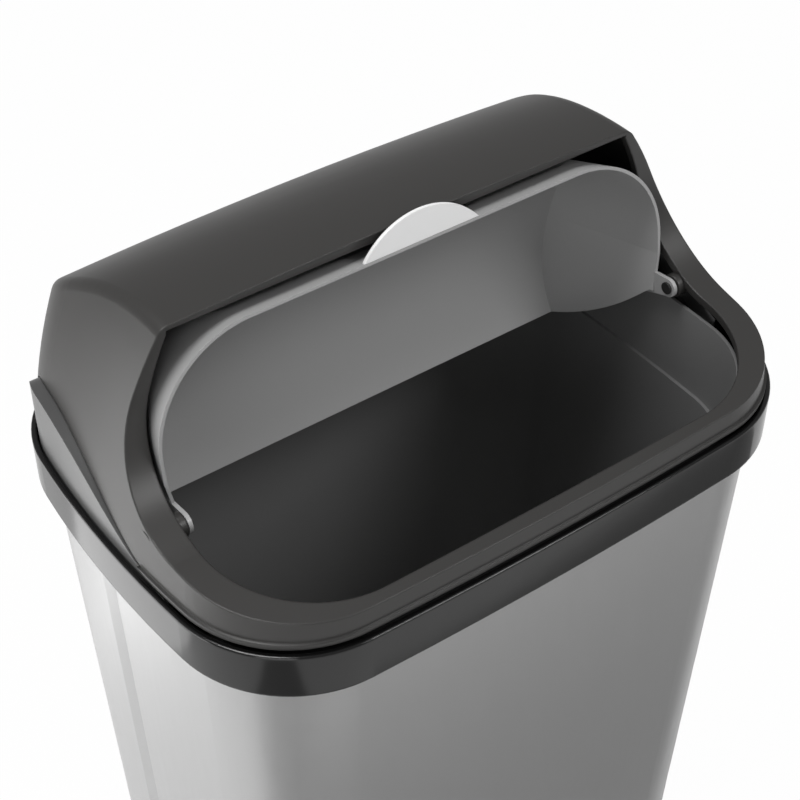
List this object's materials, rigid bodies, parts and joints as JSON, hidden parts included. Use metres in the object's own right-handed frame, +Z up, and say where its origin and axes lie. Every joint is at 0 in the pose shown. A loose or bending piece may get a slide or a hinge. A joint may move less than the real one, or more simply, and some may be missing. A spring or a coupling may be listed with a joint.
{
  "type": "roll-top kitchen bin",
  "caption": "Tall tapered waste bin with a bright collar, a barrel-shaped hood and a scoop lid that rolls back into the hood, over a lift-out inner bucket.",
  "frame": {"origin": "middle of the footprint at floor level", "axes": "+Z up, -Y towards the front where the opening is, +X to the right as seen from the front"},
  "size_m": [0.394, 0.283, 0.7081],
  "materials": {
    "silver_skin": "satin",
    "plinth_plastic": "matte",
    "pad_rubber": "matte",
    "screw_steel": "brushed",
    "collar_gloss": "gloss",
    "wing_grey": "fine texture",
    "bucket_plastic": "satin",
    "hood_grey": "satin",
    "pin_dark": "satin",
    "lid_plastic": "gloss",
    "tab_light": "satin"
  },
  "bodies": {
    "bin": {"body_shell": "silver_skin", "base_plinth": "plinth_plastic", "foot_pads": "pad_rubber", "pad_screws": "screw_steel", "collar_band": "collar_gloss", "collar_knuckles": "collar_gloss", "side_wing_left": "wing_grey", "side_wing_right": "wing_grey", "inner_bucket": "bucket_plastic", "hinge_pins": "screw_steel"},
    "hood": {"hood_shell": "hood_grey", "hood_leaves": "hood_grey", "leaf_screws": "screw_steel", "pivot_boss_left": "hood_grey", "pivot_boss_right": "hood_grey", "pivot_pin_left": "pin_dark", "pivot_pin_right": "pin_dark", "lid_bumpers": "hood_grey"},
    "scoop": {"roll_lid": "lid_plastic", "lift_tab": "tab_light"}
  },
  "joints": [
    {"name": "hood_hinge", "type": "hinge", "parent": "bin", "child": "hood", "pos_m": [0, 0.1362, 0.5836], "axis": [-1, 0, 0], "range_deg": [0, 95]},
    {"name": "roll_lid_hinge", "type": "hinge", "parent": "hood", "child": "scoop", "pos_m": [0, -0.037, 0.5995], "axis": [1, 0, 0], "range_deg": [0, 104]}
  ]
}
